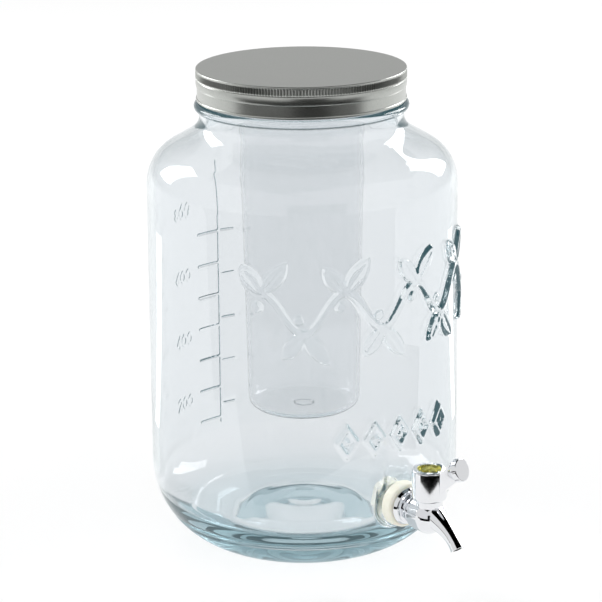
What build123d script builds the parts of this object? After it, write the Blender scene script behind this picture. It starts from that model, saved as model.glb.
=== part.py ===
"""Countertop glass dispenser: a round-shouldered jar with a screw lid, a hanging ice insert and a lever tap.

Frame: millimetres, +Z up, origin at the centre of the jar's foot on the surface it stands on.
The tap looks along -Y. Everything that is round about Z is made by one revolve.
"""

import os
from math import cos, degrees, radians, sin, sqrt

from build123d import *

# ---------------------------------------------------------------- jar
WALL_RADIUS = 105.8
HEEL_WIDTH = 56.7  # the heel is a quarter of an ellipse
HEEL_HEIGHT = 58.7
BODY_TOP_RADIUS = 105.0
BODY_TOP_Z = 252.9
SHOULDER_WIDTH = 23.4  # the shoulder is part of an ellipse
SHOULDER_HEIGHT = 28.65
SHOULDER_TURN = 62.7
SHOULDER_PULL = 14.0  # how far the shoulder's slope carries into the neck curve
NECK_RADIUS = 68.9
NECK_Z = 299.0
NECK_PULL = 9.0
BEAD_RADIUS = 72.2
BEAD_BOTTOM_Z = 303.5
BEAD_TOP_Z = 309.4
FINISH_RADIUS = 67.3
MOUTH_RADIUS = 64.4
RIM_Z = 328.4
RIM_ROUND = 1.2
GLASS = 4.5
FLOOR_Z = 25.0
FLOOR_RISE = 2.5
FLOOR_STEP = 1.5  # small step down at the edge of the floor
INNER_HEEL = 24.0
PUSH_UP = 9.0
RESTING_RING = 3.5
THREAD_PITCH = 6.35
THREAD_TURNS = 1.15
THREAD_CREST = 69.2
THREAD_WIDTH = 3.0
SCALE_LINE_BOTTOM = 50.0
SCALE_LINE_TOP = 253.0
SCALE_RIB = 1.1  # radius of the raised scale ribs
LEFT_TICKS = 7
LEFT_TICK_PITCH = 23.5
LEFT_TICK_LENGTH = 20.0
RIGHT_TICKS = 5
RIGHT_TICK_PITCH = 32.7
RIGHT_TICK_LENGTH = 13.0
SCALE_TOP_TICK = 197.0

# ---------------------------------------------------------------- lid and insert
LID_RADIUS = 70.6
LID_TOP_Z = 331.9
LID_BOTTOM_Z = 310.4
LID_SHEET = 0.5
KNURLS = 220
KNURL_DEPTH = 0.45
KNURL_TOP_Z = 330.8
KNURL_BOTTOM_Z = 325.4
LINER_THICKNESS = 1.2
LINER_RADIUS = 69.3
FLANGE_THICKNESS = 1.8
FLANGE_RADIUS = 66.9
INSERT_WALL = 2.0
INSERT_TOP_RADIUS = 42.6
INSERT_FOOT_RADIUS = 38.4
INSERT_BOTTOM_Z = 95.0
INSERT_CORNER = 7.0
GATE_RADIUS = 7.0
SEAT_RING_DEPTH = 6.0  # the insert's short skirt that drops into the mouth

# ---------------------------------------------------------------- tap
TAP_Z = 54.0
BARREL_Y = -137.2
PAD_FACE_Y = -106.0
PAD_INNER_Y = -98.2
PAD_RADIUS = 16.5
INNER_PAD_RADIUS = 14.0
TAP_HOLE_RADIUS = 8.0
SHANK_RADIUS = 7.4
SHANK_END_Y = -87.0
INLET_RADIUS = 4.0
GASKET_RADIUS = 15.7
GASKET_FACE_RADIUS = 14.8
GASKET_FACE_Y = -114.3
FLANGE_EDGE_Y = -118.0
TAP_FLANGE_RADIUS = 13.1
PIPE_RADIUS = 8.6
PIPE_RING_RADII = (10.8, 9.6)
PIPE_END_Y = -127.0
BOWL_RADIUS = 11.7
PLUG_RADIUS = 6.40
BORE_RADIUS = 6.45
PLUG_FLOOR_Z = TAP_Z - 7.5
PLUG_TOP_Z = TAP_Z + 6.0
PORT_RADIUS = 3.2
BONNET_BOTTOM_Z = TAP_Z + 7.2
BONNET_TOP_Z = TAP_Z + 11.7
BONNET_RADIUS = 8.9
STEM_RADIUS = 4.40
STEM_BORE_RADIUS = 4.45
DRIVE_SIDE = 6.0
DRIVE_TOP_Z = TAP_Z + 23.5
O_RING_CORD = 0.95
O_RING_Z = (TAP_Z - 5.2, TAP_Z + 4.7)
SPOUT_START = (0, -139.0, 56.4)
SPOUT_TIP = (0, -166.4, 39.6)
SPOUT_START_FALL = 18.0
SPOUT_TIP_FALL = 50.0
SPOUT_RADII = ((0, 8.8), (0.25, 7.0), (0.5, 5.2), (1, 4.6))  # share of the length, radius
SPOUT_BORE_RADIUS = 3.0

# ---------------------------------------------------------------- lever
LEVER_ANGLE = 18.7  # degrees from straight ahead towards +X
HANDLE_RADIUS = 11.6
HANDLE_BOTTOM_Z = BONNET_TOP_Z + 0.4
HANDLE_TOP_Z = TAP_Z + 33.0
HANDLE_EDGE = 2.3
SCREW_WEB_Z = (TAP_Z + 24.0, TAP_Z + 26.0)
CAP_RADIUS = 8.0
CAP_SEAT_Z = TAP_Z + 30.8
ARM_TILT = 19.0
ARM_AXIS_Z = TAP_Z + 28.7  # where the arm's line crosses the barrel's axis
ARM_WIDTH = 9.0
KNOB_RADIUS = 7.8
KNOB_BACK = 22.0
KNOB_FACE = 26.7
STUB_RADIUS = 2.5
STUB_LENGTH = 3.0

LEVER_OUT = Vector(sin(radians(LEVER_ANGLE)), -cos(radians(LEVER_ANGLE)), 0)
LEVER_SIDE = Plane(origin=(0, BARREL_Y, 0), x_dir=LEVER_OUT, z_dir=LEVER_OUT.cross(Vector(0, 0, 1)))
BARREL = Plane(origin=(0, BARREL_Y, 0), x_dir=(1, 0, 0), z_dir=(0, -1, 0))  # upright section plane
BARREL_AXIS = Axis((0, BARREL_Y, 0), (0, 0, 1))
TAP_AXIS = Axis((0, 0, TAP_Z), (0, -1, 0))

os.makedirs("parts", exist_ok=True)


def save(builder, label):
    """Names a finished piece and writes it as parts/LABEL.step."""
    builder.part.label = label
    export_step(builder.part, f"parts/{label}.step")


def facing(y, z=TAP_Z):
    """A plane square to the tap's inlet axis, with its normal along -Y."""
    return Plane(origin=(0, y, z), x_dir=(1, 0, 0), z_dir=(0, -1, 0))


def level(z, y=0):
    """A horizontal plane at that height, centred on the jar's or the valve's axis."""
    return Plane(origin=(0, y, z), x_dir=(1, 0, 0), z_dir=(0, 0, 1))


def valve_plane(z):
    """A horizontal plane at that height, centred on the valve and turned with the lever."""
    return Plane(origin=(0, BARREL_Y, z), x_dir=(-LEVER_OUT.Y, LEVER_OUT.X, 0), z_dir=(0, 0, 1))


# ================================================================ jar
def dome(rim_radius, rim_z, rise):
    """Centre, middle and rim points of a shallow spherical dome about the jar's axis."""
    sphere = (rim_radius**2 + rise**2) / (2 * rise)
    middle_z = rim_z + rise - sphere + sqrt(sphere**2 - (rim_radius / 2) ** 2)
    return (0, rim_z + rise), (rim_radius / 2, middle_z), (rim_radius, rim_z)


def jar_outside():
    """Outside of the jar's section, from the push-up at the axis to the top of the rim."""
    foot = WALL_RADIUS - HEEL_WIDTH
    ring = foot - RESTING_RING
    shoulder_x = BODY_TOP_RADIUS - SHOULDER_WIDTH
    ThreePointArc(*dome(ring, 0, PUSH_UP))
    Line((ring, 0), (foot, 0))
    EllipticalCenterArc((foot, HEEL_HEIGHT), HEEL_WIDTH, HEEL_HEIGHT, 270, arc_size=90)
    Line((WALL_RADIUS, HEEL_HEIGHT), (BODY_TOP_RADIUS, BODY_TOP_Z))
    shoulder = EllipticalCenterArc(
        (shoulder_x, BODY_TOP_Z), SHOULDER_WIDTH, SHOULDER_HEIGHT, 0, arc_size=SHOULDER_TURN
    )
    slope = shoulder % 1
    start = shoulder @ 1
    Bezier(start, start + slope * SHOULDER_PULL, (NECK_RADIUS, NECK_Z - NECK_PULL), (NECK_RADIUS, NECK_Z))
    Line((NECK_RADIUS, NECK_Z), (NECK_RADIUS, BEAD_BOTTOM_Z))
    ThreePointArc(
        (NECK_RADIUS, BEAD_BOTTOM_Z),
        (BEAD_RADIUS, (BEAD_BOTTOM_Z + BEAD_TOP_Z) / 2),
        (NECK_RADIUS, BEAD_TOP_Z),
    )
    Line((NECK_RADIUS, BEAD_TOP_Z), (FINISH_RADIUS, BEAD_TOP_Z))
    Line((FINISH_RADIUS, BEAD_TOP_Z), (FINISH_RADIUS, RIM_Z - RIM_ROUND))
    RadiusArc((FINISH_RADIUS, RIM_Z - RIM_ROUND), (FINISH_RADIUS - RIM_ROUND, RIM_Z), -RIM_ROUND)


def jar_inside():
    """Inside of the jar's section, from the rim back down to the floor's centre."""
    heel_x = WALL_RADIUS - GLASS - INNER_HEEL
    heel_z = FLOOR_Z + INNER_HEEL
    shoulder_x = BODY_TOP_RADIUS - SHOULDER_WIDTH
    Line((FINISH_RADIUS - RIM_ROUND, RIM_Z), (MOUTH_RADIUS, RIM_Z))
    Line((MOUTH_RADIUS, RIM_Z), (MOUTH_RADIUS, NECK_Z - 1))
    shoulder = EllipticalCenterArc(
        (shoulder_x, BODY_TOP_Z), SHOULDER_WIDTH - GLASS, SHOULDER_HEIGHT - GLASS, 0, arc_size=SHOULDER_TURN
    )
    slope = shoulder % 1
    start = shoulder @ 1
    Bezier(start, start + slope * SHOULDER_PULL, (MOUTH_RADIUS, NECK_Z - NECK_PULL - 5), (MOUTH_RADIUS, NECK_Z - 1))
    Line((BODY_TOP_RADIUS - GLASS, BODY_TOP_Z), (WALL_RADIUS - GLASS, heel_z))
    CenterArc((heel_x, heel_z), INNER_HEEL, 270, 90)
    floor_x, floor_z = heel_x - 2, FLOOR_Z - FLOOR_STEP
    Line((heel_x, FLOOR_Z), (floor_x, floor_z))
    ThreePointArc(*dome(floor_x, floor_z, FLOOR_RISE))
    Line((0, floor_z + FLOOR_RISE), (0, PUSH_UP))


def scale_ticks():
    """Height, direction round the wall and length of every raised tick, the long row then the short row."""
    long_row = [(SCALE_TOP_TICK - n * LEFT_TICK_PITCH, 1, LEFT_TICK_LENGTH) for n in range(LEFT_TICKS)]
    short_row = [(SCALE_TOP_TICK - n * RIGHT_TICK_PITCH, -1, RIGHT_TICK_LENGTH) for n in range(RIGHT_TICKS)]
    return long_row + short_row


def wall_radius_at(z):
    """Outer radius of the slightly tapered wall."""
    share = max(0, z - HEEL_HEIGHT) / (BODY_TOP_Z - HEEL_HEIGHT)
    return WALL_RADIUS - (WALL_RADIUS - BODY_TOP_RADIUS) * share


with BuildPart() as glass_jar:
    with BuildSketch(Plane.XZ):
        with BuildLine():
            jar_outside()
            jar_inside()
        make_face()
    revolve(axis=Axis.Z)
    # flat pads inside and outside the tap hole, so that the washers seal
    with BuildSketch(facing(PAD_FACE_Y)):
        Circle(PAD_RADIUS)
    extrude(amount=-3.6)
    with BuildSketch(facing(PAD_INNER_Y)):
        Circle(INNER_PAD_RADIUS)
    extrude(amount=4.4)
    with BuildSketch(facing(PAD_FACE_Y - 2)):
        Circle(TAP_HOLE_RADIUS)
    extrude(amount=-14, mode=Mode.SUBTRACT)
    # raised scale at the back: one upright line with two rows of ticks
    with BuildSketch(level(SCALE_LINE_BOTTOM + 10)):
        with Locations((0, WALL_RADIUS - 0.5)):
            Circle(SCALE_RIB)
    extrude(amount=SCALE_LINE_TOP - SCALE_LINE_BOTTOM - 10)
    for tick_z, direction, length in scale_ticks():
        tick_radius = wall_radius_at(tick_z) - 0.4
        with BuildSketch(Plane(origin=(0, tick_radius, tick_z), x_dir=(0, 1, 0), z_dir=(-direction, 0, 0))):
            Circle(SCALE_RIB)
        revolve(axis=Axis((0, 0, 0), (0, 0, direction)), revolution_arc=degrees(length / tick_radius))
    # raised thread for the lid, a little over one turn
    with BuildLine() as thread_path:
        Helix(
            pitch=THREAD_PITCH,
            height=THREAD_PITCH * THREAD_TURNS,
            radius=FINISH_RADIUS - 0.4,
            center=(0, 0, BEAD_TOP_Z + 5.5),
        )
    thread_depth = THREAD_CREST - FINISH_RADIUS + 0.4
    with BuildSketch(Plane(origin=thread_path.line @ 0, x_dir=(1, 0, 0), z_dir=thread_path.line % 0)):
        with BuildLine():
            Polyline(
                (0, -THREAD_WIDTH / 2),
                (thread_depth, -THREAD_WIDTH / 5),
                (thread_depth, THREAD_WIDTH / 5),
                (0, THREAD_WIDTH / 2),
                close=True,
            )
        make_face()
    sweep(path=thread_path.line, is_frenet=True)
save(glass_jar, "glass_jar")


# ================================================================ lid
def knurl_points():
    """Corners of the fluted ring round the lid's top, one ridge and one hollow per knurl."""
    points = []
    for number in range(KNURLS):
        for radius, turn in ((LID_RADIUS, 0), (LID_RADIUS - KNURL_DEPTH, 0.5)):
            angle = radians(360 * (number + turn) / KNURLS)
            points.append((radius * cos(angle), radius * sin(angle)))
    return points


with BuildPart() as lid_shell:
    skirt = LID_RADIUS - KNURL_DEPTH
    with BuildSketch(Plane.XZ):
        with BuildLine():
            FilletPolyline(
                (0, LID_TOP_Z),
                (LID_RADIUS, LID_TOP_Z),
                (LID_RADIUS, KNURL_TOP_Z),
                (skirt, KNURL_TOP_Z),
                radius=[0.7, 0.1],
            )
            Line((skirt, KNURL_TOP_Z), (skirt, KNURL_BOTTOM_Z))
            # bright rolled bead, then the plain skirt with its wired edge
            ThreePointArc(
                (skirt, KNURL_BOTTOM_Z), (LID_RADIUS, KNURL_BOTTOM_Z - 0.8), (skirt, KNURL_BOTTOM_Z - 1.6)
            )
            Line((skirt, KNURL_BOTTOM_Z - 1.6), (skirt, LID_BOTTOM_Z + 1.8))
            ThreePointArc(
                (skirt, LID_BOTTOM_Z + 1.8), (LID_RADIUS, LID_BOTTOM_Z + 0.9), (skirt, LID_BOTTOM_Z)
            )
            Line((skirt, LID_BOTTOM_Z), (skirt - LID_SHEET, LID_BOTTOM_Z))
            Line((skirt - LID_SHEET, LID_BOTTOM_Z), (skirt - LID_SHEET, LID_TOP_Z - LID_SHEET))
            Line((skirt - LID_SHEET, LID_TOP_Z - LID_SHEET), (0, LID_TOP_Z - LID_SHEET))
            Line((0, LID_TOP_Z - LID_SHEET), (0, LID_TOP_Z))
        make_face()
    revolve(axis=Axis.Z)
    with BuildSketch(level(KNURL_BOTTOM_Z)):
        with BuildLine():
            Polyline(*knurl_points(), close=True)
        make_face()
        Circle(skirt - LID_SHEET / 2, mode=Mode.SUBTRACT)
    extrude(amount=KNURL_TOP_Z - KNURL_BOTTOM_Z)
save(lid_shell, "lid_shell")

with BuildPart() as lid_liner:
    with BuildSketch(level(LID_TOP_Z - LID_SHEET - LINER_THICKNESS)):
        Circle(LINER_RADIUS)
    extrude(amount=LINER_THICKNESS)
save(lid_liner, "lid_liner")

# ================================================================ ice insert
with BuildPart() as ice_insert:
    flange_top = RIM_Z + FLANGE_THICKNESS
    mouth_fit = MOUTH_RADIUS - 0.4
    with BuildSketch(Plane.XZ):
        with BuildLine():
            FilletPolyline(
                (0, INSERT_BOTTOM_Z),
                (INSERT_FOOT_RADIUS, INSERT_BOTTOM_Z),
                (INSERT_TOP_RADIUS, RIM_Z - SEAT_RING_DEPTH),
                (mouth_fit, RIM_Z - SEAT_RING_DEPTH),
                (mouth_fit, RIM_Z),
                (FLANGE_RADIUS, RIM_Z),
                (FLANGE_RADIUS, flange_top),
                (mouth_fit - INSERT_WALL, flange_top),
                (mouth_fit - INSERT_WALL, RIM_Z - SEAT_RING_DEPTH + INSERT_WALL),
                (INSERT_TOP_RADIUS - INSERT_WALL, RIM_Z - SEAT_RING_DEPTH + INSERT_WALL),
                (INSERT_FOOT_RADIUS - INSERT_WALL, INSERT_BOTTOM_Z + INSERT_WALL),
                (0, INSERT_BOTTOM_Z + INSERT_WALL),
                radius=[INSERT_CORNER, 2.0, 1.0, 0.2, 0.6, 0.4, 0.6, 0.8, 1.5, INSERT_CORNER - INSERT_WALL],
            )
            Line((0, INSERT_BOTTOM_Z + INSERT_WALL), (0, INSERT_BOTTOM_Z))
        make_face()
    revolve(axis=Axis.Z)
    with BuildSketch(level(INSERT_BOTTOM_Z - 0.8)):
        Circle(GATE_RADIUS)
        Circle(GATE_RADIUS - 1.2, mode=Mode.SUBTRACT)
    extrude(amount=1.2)
save(ice_insert, "ice_insert")


# ================================================================ tap, fixed pieces
def ring_outline(y_from, y_to, outer_from, outer_to, inner, rounding=0.0):
    """Section of a washer, gasket or flange round the tap's inlet axis, rounded on its outer corners."""
    inner_start = (y_from, TAP_Z + inner)
    outer_start = (y_from, TAP_Z + outer_from)
    outer_end = (y_to, TAP_Z + outer_to)
    inner_end = (y_to, TAP_Z + inner)
    if rounding:
        FilletPolyline(inner_start, outer_start, outer_end, inner_end, radius=rounding)
    else:
        Polyline(inner_start, outer_start, outer_end, inner_end)
    Line(inner_end, inner_start)


with BuildPart() as outer_gasket:
    with BuildSketch(Plane.YZ):
        with BuildLine():
            ring_outline(PAD_FACE_Y, GASKET_FACE_Y, GASKET_RADIUS, GASKET_FACE_RADIUS, SHANK_RADIUS, 1.4)
        make_face()
    revolve(axis=TAP_AXIS)
save(outer_gasket, "outer_gasket")

with BuildPart() as inner_washer:
    with BuildSketch(Plane.YZ):
        with BuildLine():
            ring_outline(PAD_INNER_Y, PAD_INNER_Y + 1.8, 12.4, 12.4, SHANK_RADIUS, 0.4)
        make_face()
    revolve(axis=TAP_AXIS)
save(inner_washer, "inner_washer")

with BuildPart() as slip_washer:
    with BuildSketch(Plane.YZ):
        with BuildLine():
            ring_outline(PAD_INNER_Y + 1.8, PAD_INNER_Y + 2.8, 12.0, 12.0, SHANK_RADIUS)
        make_face()
    revolve(axis=TAP_AXIS)
save(slip_washer, "slip_washer")

with BuildPart() as flange_cup:
    with BuildSketch(Plane.YZ):
        with BuildLine():
            ring_outline(GASKET_FACE_Y, FLANGE_EDGE_Y, TAP_FLANGE_RADIUS, TAP_FLANGE_RADIUS - 1.6, SHANK_RADIUS + 1.2, 0.9)
        make_face()
    revolve(axis=TAP_AXIS)
save(flange_cup, "flange_cup")

with BuildPart() as lock_nut:
    with BuildSketch(facing(PAD_INNER_Y + 2.8)):
        RegularPolygon(12.4, 6, rotation=15)
        Circle(SHANK_RADIUS, mode=Mode.SUBTRACT)
    extrude(amount=-6.4)
    with BuildSketch(facing(PAD_INNER_Y + 2.8)):
        Circle(12.0)
        Circle(SHANK_RADIUS, mode=Mode.SUBTRACT)
    extrude(amount=-1.2)
save(lock_nut, "lock_nut")

def spout_path():
    """Centre line of the spout, nearly level at the bowl and steep at the tip."""
    start_dir = (0, -cos(radians(SPOUT_START_FALL)), -sin(radians(SPOUT_START_FALL)))
    tip_dir = (0, -cos(radians(SPOUT_TIP_FALL)), -sin(radians(SPOUT_TIP_FALL)))
    return Edge.make_spline([SPOUT_START, SPOUT_TIP], tangents=[start_dir, tip_dir])


with BuildPart() as tap_body:
    # threaded shank through the jar wall, stepped pipe and the fat valve bowl
    with BuildSketch(Plane.YZ):
        with BuildLine():
            Polyline(
                (SHANK_END_Y, TAP_Z),
                (SHANK_END_Y, TAP_Z + SHANK_RADIUS - 0.8),
                (SHANK_END_Y - 0.8, TAP_Z + SHANK_RADIUS),
                (GASKET_FACE_Y, TAP_Z + SHANK_RADIUS),
                (GASKET_FACE_Y, TAP_Z + SHANK_RADIUS + 1.2),
                (FLANGE_EDGE_Y, TAP_Z + SHANK_RADIUS + 1.2),
                (FLANGE_EDGE_Y, TAP_Z + PIPE_RING_RADII[0]),
                (FLANGE_EDGE_Y - 1.8, TAP_Z + PIPE_RING_RADII[0]),
                (FLANGE_EDGE_Y - 2.4, TAP_Z + PIPE_RADIUS),
                (FLANGE_EDGE_Y - 4.2, TAP_Z + PIPE_RADIUS),
                (FLANGE_EDGE_Y - 4.4, TAP_Z + PIPE_RING_RADII[1]),
                (FLANGE_EDGE_Y - 5.6, TAP_Z + PIPE_RING_RADII[1]),
                (FLANGE_EDGE_Y - 5.8, TAP_Z + PIPE_RADIUS),
                (PIPE_END_Y + 1.5, TAP_Z + PIPE_RADIUS),
                (PIPE_END_Y, TAP_Z + BOWL_RADIUS - 0.9),
                (PIPE_END_Y - 0.9, TAP_Z + BOWL_RADIUS),
                (BARREL_Y, TAP_Z + BOWL_RADIUS),
            )
            CenterArc((BARREL_Y, TAP_Z), BOWL_RADIUS, 90, 90)
            Line((BARREL_Y - BOWL_RADIUS, TAP_Z), (SHANK_END_Y, TAP_Z))
        make_face()
    revolve(axis=TAP_AXIS)
    with BuildSketch(level(TAP_Z + 6, BARREL_Y)):
        Circle(BONNET_RADIUS)
    extrude(amount=BONNET_BOTTOM_Z - TAP_Z - 6)
    # the spout grows out of the bowl's front and narrows along its bend
    spout_line = spout_path()
    for share, radius in SPOUT_RADII:
        with BuildSketch(Plane(origin=spout_line @ share, x_dir=(1, 0, 0), z_dir=spout_line % share)):
            Circle(radius)
    loft()
    # room above the bowl for the bonnet nut
    with BuildSketch(level(BONNET_BOTTOM_Z, BARREL_Y)):
        Circle(BONNET_RADIUS)
    extrude(amount=6, mode=Mode.SUBTRACT)
    with BuildSketch(level(PLUG_FLOOR_Z, BARREL_Y)):
        Circle(BORE_RADIUS)
    extrude(amount=20, mode=Mode.SUBTRACT)
    with BuildSketch(facing(SHANK_END_Y + 1)):
        Circle(INLET_RADIUS)
    extrude(amount=-(BARREL_Y - SHANK_END_Y - 1), mode=Mode.SUBTRACT)
    with BuildSketch(facing(BARREL_Y + BORE_RADIUS + 1.6)):
        Circle(5.2)
    extrude(amount=5, mode=Mode.SUBTRACT)
    with BuildSketch(Plane(origin=spout_line @ 0, x_dir=(1, 0, 0), z_dir=spout_line % 0)):
        Circle(SPOUT_BORE_RADIUS)
    sweep(path=spout_line, mode=Mode.SUBTRACT)
    # the mouth is cut nearly level
    with BuildSketch(level(SPOUT_TIP[2] - 8, SPOUT_TIP[1])):
        Rectangle(20, 20)
    extrude(amount=6.2, mode=Mode.SUBTRACT)
save(tap_body, "tap_body")


with BuildPart() as seat_seal:
    with BuildSketch(facing(BARREL_Y + BORE_RADIUS + 1.6)):
        Circle(5.2)
        Circle(PORT_RADIUS, mode=Mode.SUBTRACT)
    extrude(amount=5)
    with BuildSketch(level(PLUG_FLOOR_Z, BARREL_Y)):
        Circle(BORE_RADIUS)
    extrude(amount=20, mode=Mode.SUBTRACT)
save(seat_seal, "seat_seal")

with BuildPart() as bonnet_nut:
    with BuildSketch(level(BONNET_BOTTOM_Z, BARREL_Y)):
        Circle(BONNET_RADIUS)
        Circle(STEM_BORE_RADIUS, mode=Mode.SUBTRACT)
    extrude(amount=BONNET_TOP_Z - BONNET_BOTTOM_Z)
save(bonnet_nut, "bonnet_nut")

with BuildPart() as spring_washer:
    with BuildSketch(BARREL):
        with BuildLine():
            Polyline(
                (STEM_RADIUS + 0.4, PLUG_TOP_Z),
                (STEM_RADIUS + 0.4, PLUG_TOP_Z + 0.5),
                (BORE_RADIUS - 0.1, BONNET_BOTTOM_Z),
                (BORE_RADIUS - 0.1, BONNET_BOTTOM_Z - 0.5),
                close=True,
            )
        make_face()
    revolve(axis=BARREL_AXIS)
save(spring_washer, "spring_washer")

with BuildPart() as friction_washer:
    with BuildSketch(level(BONNET_TOP_Z, BARREL_Y)):
        Circle(8.4)
        Circle(STEM_RADIUS + 0.4, mode=Mode.SUBTRACT)
    extrude(amount=HANDLE_BOTTOM_Z - BONNET_TOP_Z)
save(friction_washer, "friction_washer")

# ================================================================ pieces that turn with the lever
with BuildPart() as valve_plug:
    with BuildSketch(BARREL):
        with BuildLine():
            Polyline(
                (0, PLUG_FLOOR_Z + 0.2),
                (PLUG_RADIUS, PLUG_FLOOR_Z + 0.2),
                (PLUG_RADIUS, PLUG_TOP_Z),
                (STEM_RADIUS, PLUG_TOP_Z),
                (STEM_RADIUS, HANDLE_BOTTOM_Z + 0.6),
                (0, HANDLE_BOTTOM_Z + 0.6),
                close=True,
            )
        make_face()
    revolve(axis=BARREL_AXIS)
    with BuildSketch(valve_plane(HANDLE_BOTTOM_Z + 0.6)):
        Rectangle(DRIVE_SIDE, DRIVE_SIDE)
    extrude(amount=DRIVE_TOP_Z - HANDLE_BOTTOM_Z - 0.6)
    with BuildSketch(valve_plane(DRIVE_TOP_Z)):
        Circle(2.0)
    extrude(amount=-12, mode=Mode.SUBTRACT)
    # cross port, square to the tap's axis while the lever points ahead
    port_plane = Plane(origin=(0, BARREL_Y, TAP_Z), x_dir=(0, 0, 1), z_dir=(-LEVER_OUT.Y, LEVER_OUT.X, 0))
    with BuildSketch(port_plane):
        Circle(PORT_RADIUS)
    extrude(amount=10, both=True, mode=Mode.SUBTRACT)
    for ring_z in O_RING_Z:
        with BuildSketch(level(ring_z - O_RING_CORD, BARREL_Y)):
            Circle(PLUG_RADIUS + 1)
            Circle(BORE_RADIUS - 0.02 - 2 * O_RING_CORD, mode=Mode.SUBTRACT)
        extrude(amount=2 * O_RING_CORD, mode=Mode.SUBTRACT)
save(valve_plug, "valve_plug")

for ring_name, ring_z in zip(("lower", "upper"), O_RING_Z):
    with BuildPart() as plug_ring:
        with BuildSketch(BARREL):
            with Locations((BORE_RADIUS - 0.02 - O_RING_CORD, ring_z)):
                Circle(O_RING_CORD)
        revolve(axis=BARREL_AXIS)
    save(plug_ring, f"plug_ring_{ring_name}")


def arm_point(along, across):
    """Point in the lever's side plane: distance along the tilted arm line and height above it."""
    tilt = radians(ARM_TILT)
    return (along * cos(tilt) - across * sin(tilt), ARM_AXIS_Z + along * sin(tilt) + across * cos(tilt))


def knob_plane(along):
    """A plane square to the arm line at that distance from the valve's axis."""
    out, z = arm_point(along, 0)
    origin = Vector(0, BARREL_Y, z) + LEVER_OUT * out
    normal = LEVER_OUT * cos(radians(ARM_TILT)) + Vector(0, 0, sin(radians(ARM_TILT)))
    return Plane(origin=origin, x_dir=(-LEVER_OUT.Y, LEVER_OUT.X, 0), z_dir=normal)


with BuildPart() as handle:
    with BuildSketch(BARREL):
        with BuildLine():
            FilletPolyline(
                (0, HANDLE_BOTTOM_Z),
                (HANDLE_RADIUS, HANDLE_BOTTOM_Z),
                (HANDLE_RADIUS, HANDLE_TOP_Z),
                (0, HANDLE_TOP_Z),
                radius=[HANDLE_EDGE, 1.2],
            )
            Line((0, HANDLE_TOP_Z), (0, HANDLE_BOTTOM_Z))
        make_face()
    revolve(axis=BARREL_AXIS)
    # the arm sweeps up out of the barrel to the disc that carries the knob
    root = HANDLE_RADIUS - 2.4
    with BuildSketch(LEVER_SIDE):
        with BuildLine():
            underside = Bezier((root, TAP_Z + 17), (HANDLE_RADIUS + 3, TAP_Z + 22), arm_point(KNOB_BACK, -6.4))
            Line(underside @ 1, arm_point(KNOB_BACK, 6.4))
            Bezier(arm_point(KNOB_BACK, 6.4), (HANDLE_RADIUS + 2, HANDLE_TOP_Z + 2), (root, HANDLE_TOP_Z - 0.6))
            Line((root, HANDLE_TOP_Z - 0.6), (root, TAP_Z + 17))
        make_face()
    extrude(amount=ARM_WIDTH / 2, both=True)
    with BuildSketch(knob_plane(KNOB_BACK - 3.2)):
        Circle(5.6)
    with BuildSketch(knob_plane(KNOB_BACK)):
        Circle(KNOB_RADIUS - 0.7)
    loft()
    # recess for the cap, well for the screw head, screw hole and square socket
    with BuildSketch(valve_plane(CAP_SEAT_Z)):
        Circle(CAP_RADIUS)
    extrude(amount=6, mode=Mode.SUBTRACT)
    with BuildSketch(valve_plane(SCREW_WEB_Z[1])):
        Circle(5.0)
    extrude(amount=8, mode=Mode.SUBTRACT)
    with BuildSketch(valve_plane(HANDLE_BOTTOM_Z - 1)):
        Circle(2.1)
    extrude(amount=24, mode=Mode.SUBTRACT)
    with BuildSketch(valve_plane(HANDLE_BOTTOM_Z - 1)):
        Circle(STEM_RADIUS + 0.1)
    extrude(amount=1.8, mode=Mode.SUBTRACT)
    with BuildSketch(valve_plane(HANDLE_BOTTOM_Z)):
        Rectangle(DRIVE_SIDE, DRIVE_SIDE)
    extrude(amount=SCREW_WEB_Z[0] - HANDLE_BOTTOM_Z, mode=Mode.SUBTRACT)
    with BuildSketch(knob_plane(KNOB_BACK)):
        Circle(STUB_RADIUS)
    extrude(amount=-STUB_LENGTH, mode=Mode.SUBTRACT)
save(handle, "handle")

with BuildPart() as lever_knob:
    with BuildSketch(knob_plane(KNOB_BACK)):
        Circle(KNOB_RADIUS)
    extrude(amount=KNOB_FACE - KNOB_BACK)
    fillet(lever_knob.edges().filter_by(GeomType.CIRCLE), radius=0.9)
    with BuildSketch(knob_plane(KNOB_BACK + 0.5)):
        Circle(STUB_RADIUS)
    extrude(amount=-STUB_LENGTH - 0.5)
save(lever_knob, "lever_knob")

with BuildPart() as screw_washer:
    with BuildSketch(valve_plane(SCREW_WEB_Z[1])):
        Circle(4.4)
        Circle(2.1, mode=Mode.SUBTRACT)
    extrude(amount=0.6)
save(screw_washer, "screw_washer")

with BuildPart() as handle_screw:
    with BuildSketch(valve_plane(SCREW_WEB_Z[1] + 0.6)):
        Circle(3.6)
    extrude(amount=2.2)
    fillet(handle_screw.edges().group_by(Axis.Z)[-1], radius=0.9)
    with BuildSketch(valve_plane(SCREW_WEB_Z[1] + 0.6)):
        Circle(2.0)
    extrude(amount=-12)
    with BuildSketch(valve_plane(SCREW_WEB_Z[1] + 2.8)):
        Rectangle(4.2, 0.9)
        Rectangle(0.9, 4.2)
    extrude(amount=-1.2, mode=Mode.SUBTRACT)
save(handle_screw, "handle_screw")

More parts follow.
